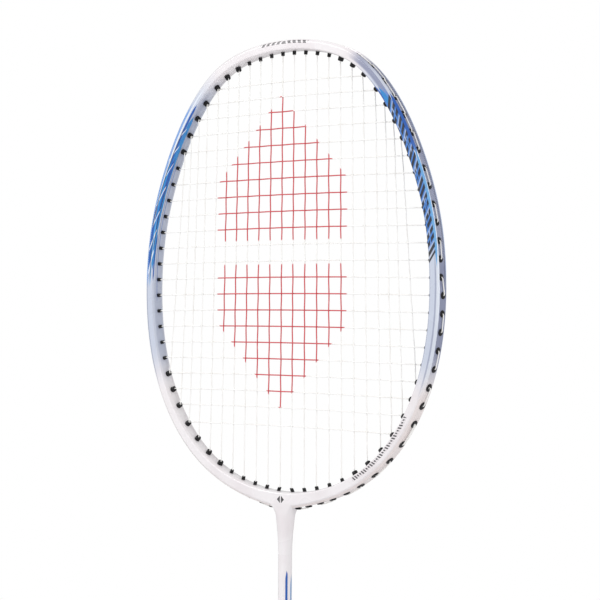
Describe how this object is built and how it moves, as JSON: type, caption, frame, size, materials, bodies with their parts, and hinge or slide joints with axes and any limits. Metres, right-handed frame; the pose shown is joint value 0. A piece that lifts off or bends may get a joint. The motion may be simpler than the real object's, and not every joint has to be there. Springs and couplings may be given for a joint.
{
  "type": "badminton racket",
  "caption": "Badminton racket: hollow oval head strung with a fine woven bed, slim shaft and an octagonal handle wrapped in a soft grip.",
  "frame": {"origin": "centre of the butt cap's flat end", "axes": "+Z along the shaft from the butt cap to the crown of the head, X across the head, Y square to the string bed"},
  "size_m": [0.2028, 0.029, 0.6748],
  "materials": {
    "frame_paint": "glossy pearl paint over carbon fibre, periwinkle on the sides with blue streaks",
    "shaft_paint": "glossy pearl white over carbon fibre with blue streaks",
    "t_joint_alloy": "plain, hidden",
    "black_nylon": "satin black moulded nylon",
    "string_nylon": "white braided multifilament with red stencil ink",
    "handle_wood": "bare, hidden",
    "cone_plastic": "glossy pearl",
    "cap_plastic": "satin black",
    "grip_leatherette": "soft blue polyurethane wrap with a fine perforated grain",
    "tape_vinyl": "satin black vinyl tape"
  },
  "bodies": {
    "root": {"frame": "frame_paint", "t_joint": "t_joint_alloy", "shaft": "shaft_paint", "handle_core": "handle_wood", "handle_cone": "cone_plastic", "butt_cap": "cap_plastic", "base_grip": "grip_leatherette", "grip_tape": "tape_vinyl", "main_string": "string_nylon", "cross_string": "string_nylon", "grommet_pair_01": "black_nylon", "grommet_pair_02": "black_nylon", "grommet_pair_03": "black_nylon", "grommet_pair_04": "black_nylon", "grommet_pair_05": "black_nylon", "grommet_pair_06": "black_nylon", "grommet_pair_07": "black_nylon", "grommet_pair_08": "black_nylon", "grommet_pair_09": "black_nylon", "grommet_pair_10": "black_nylon", "grommet_pair_11": "black_nylon", "grommet_pair_12": "black_nylon", "grommet_pair_13": "black_nylon", "grommet_pair_14": "black_nylon", "grommet_pair_15": "black_nylon", "grommet_pair_16": "black_nylon", "grommet_pair_17": "black_nylon", "grommet_pair_18": "black_nylon", "grommet_pair_19": "black_nylon", "grommet_pair_20": "black_nylon", "grommet_pair_21": "black_nylon", "grommet_pair_22": "black_nylon", "grommet_pair_23": "black_nylon", "grommet_pair_24": "black_nylon", "grommet_pair_25": "black_nylon", "grommet_pair_26": "black_nylon", "grommet_pair_27": "black_nylon", "grommet_pair_28": "black_nylon", "grommet_pair_29": "black_nylon", "grommet_pair_30": "black_nylon", "grommet_pair_31": "black_nylon", "grommet_pair_32": "black_nylon", "grommet_pair_33": "black_nylon", "grommet_pair_34": "black_nylon", "grommet_pair_35": "black_nylon", "grommet_pair_36": "black_nylon"}
  },
  "joints": []
}
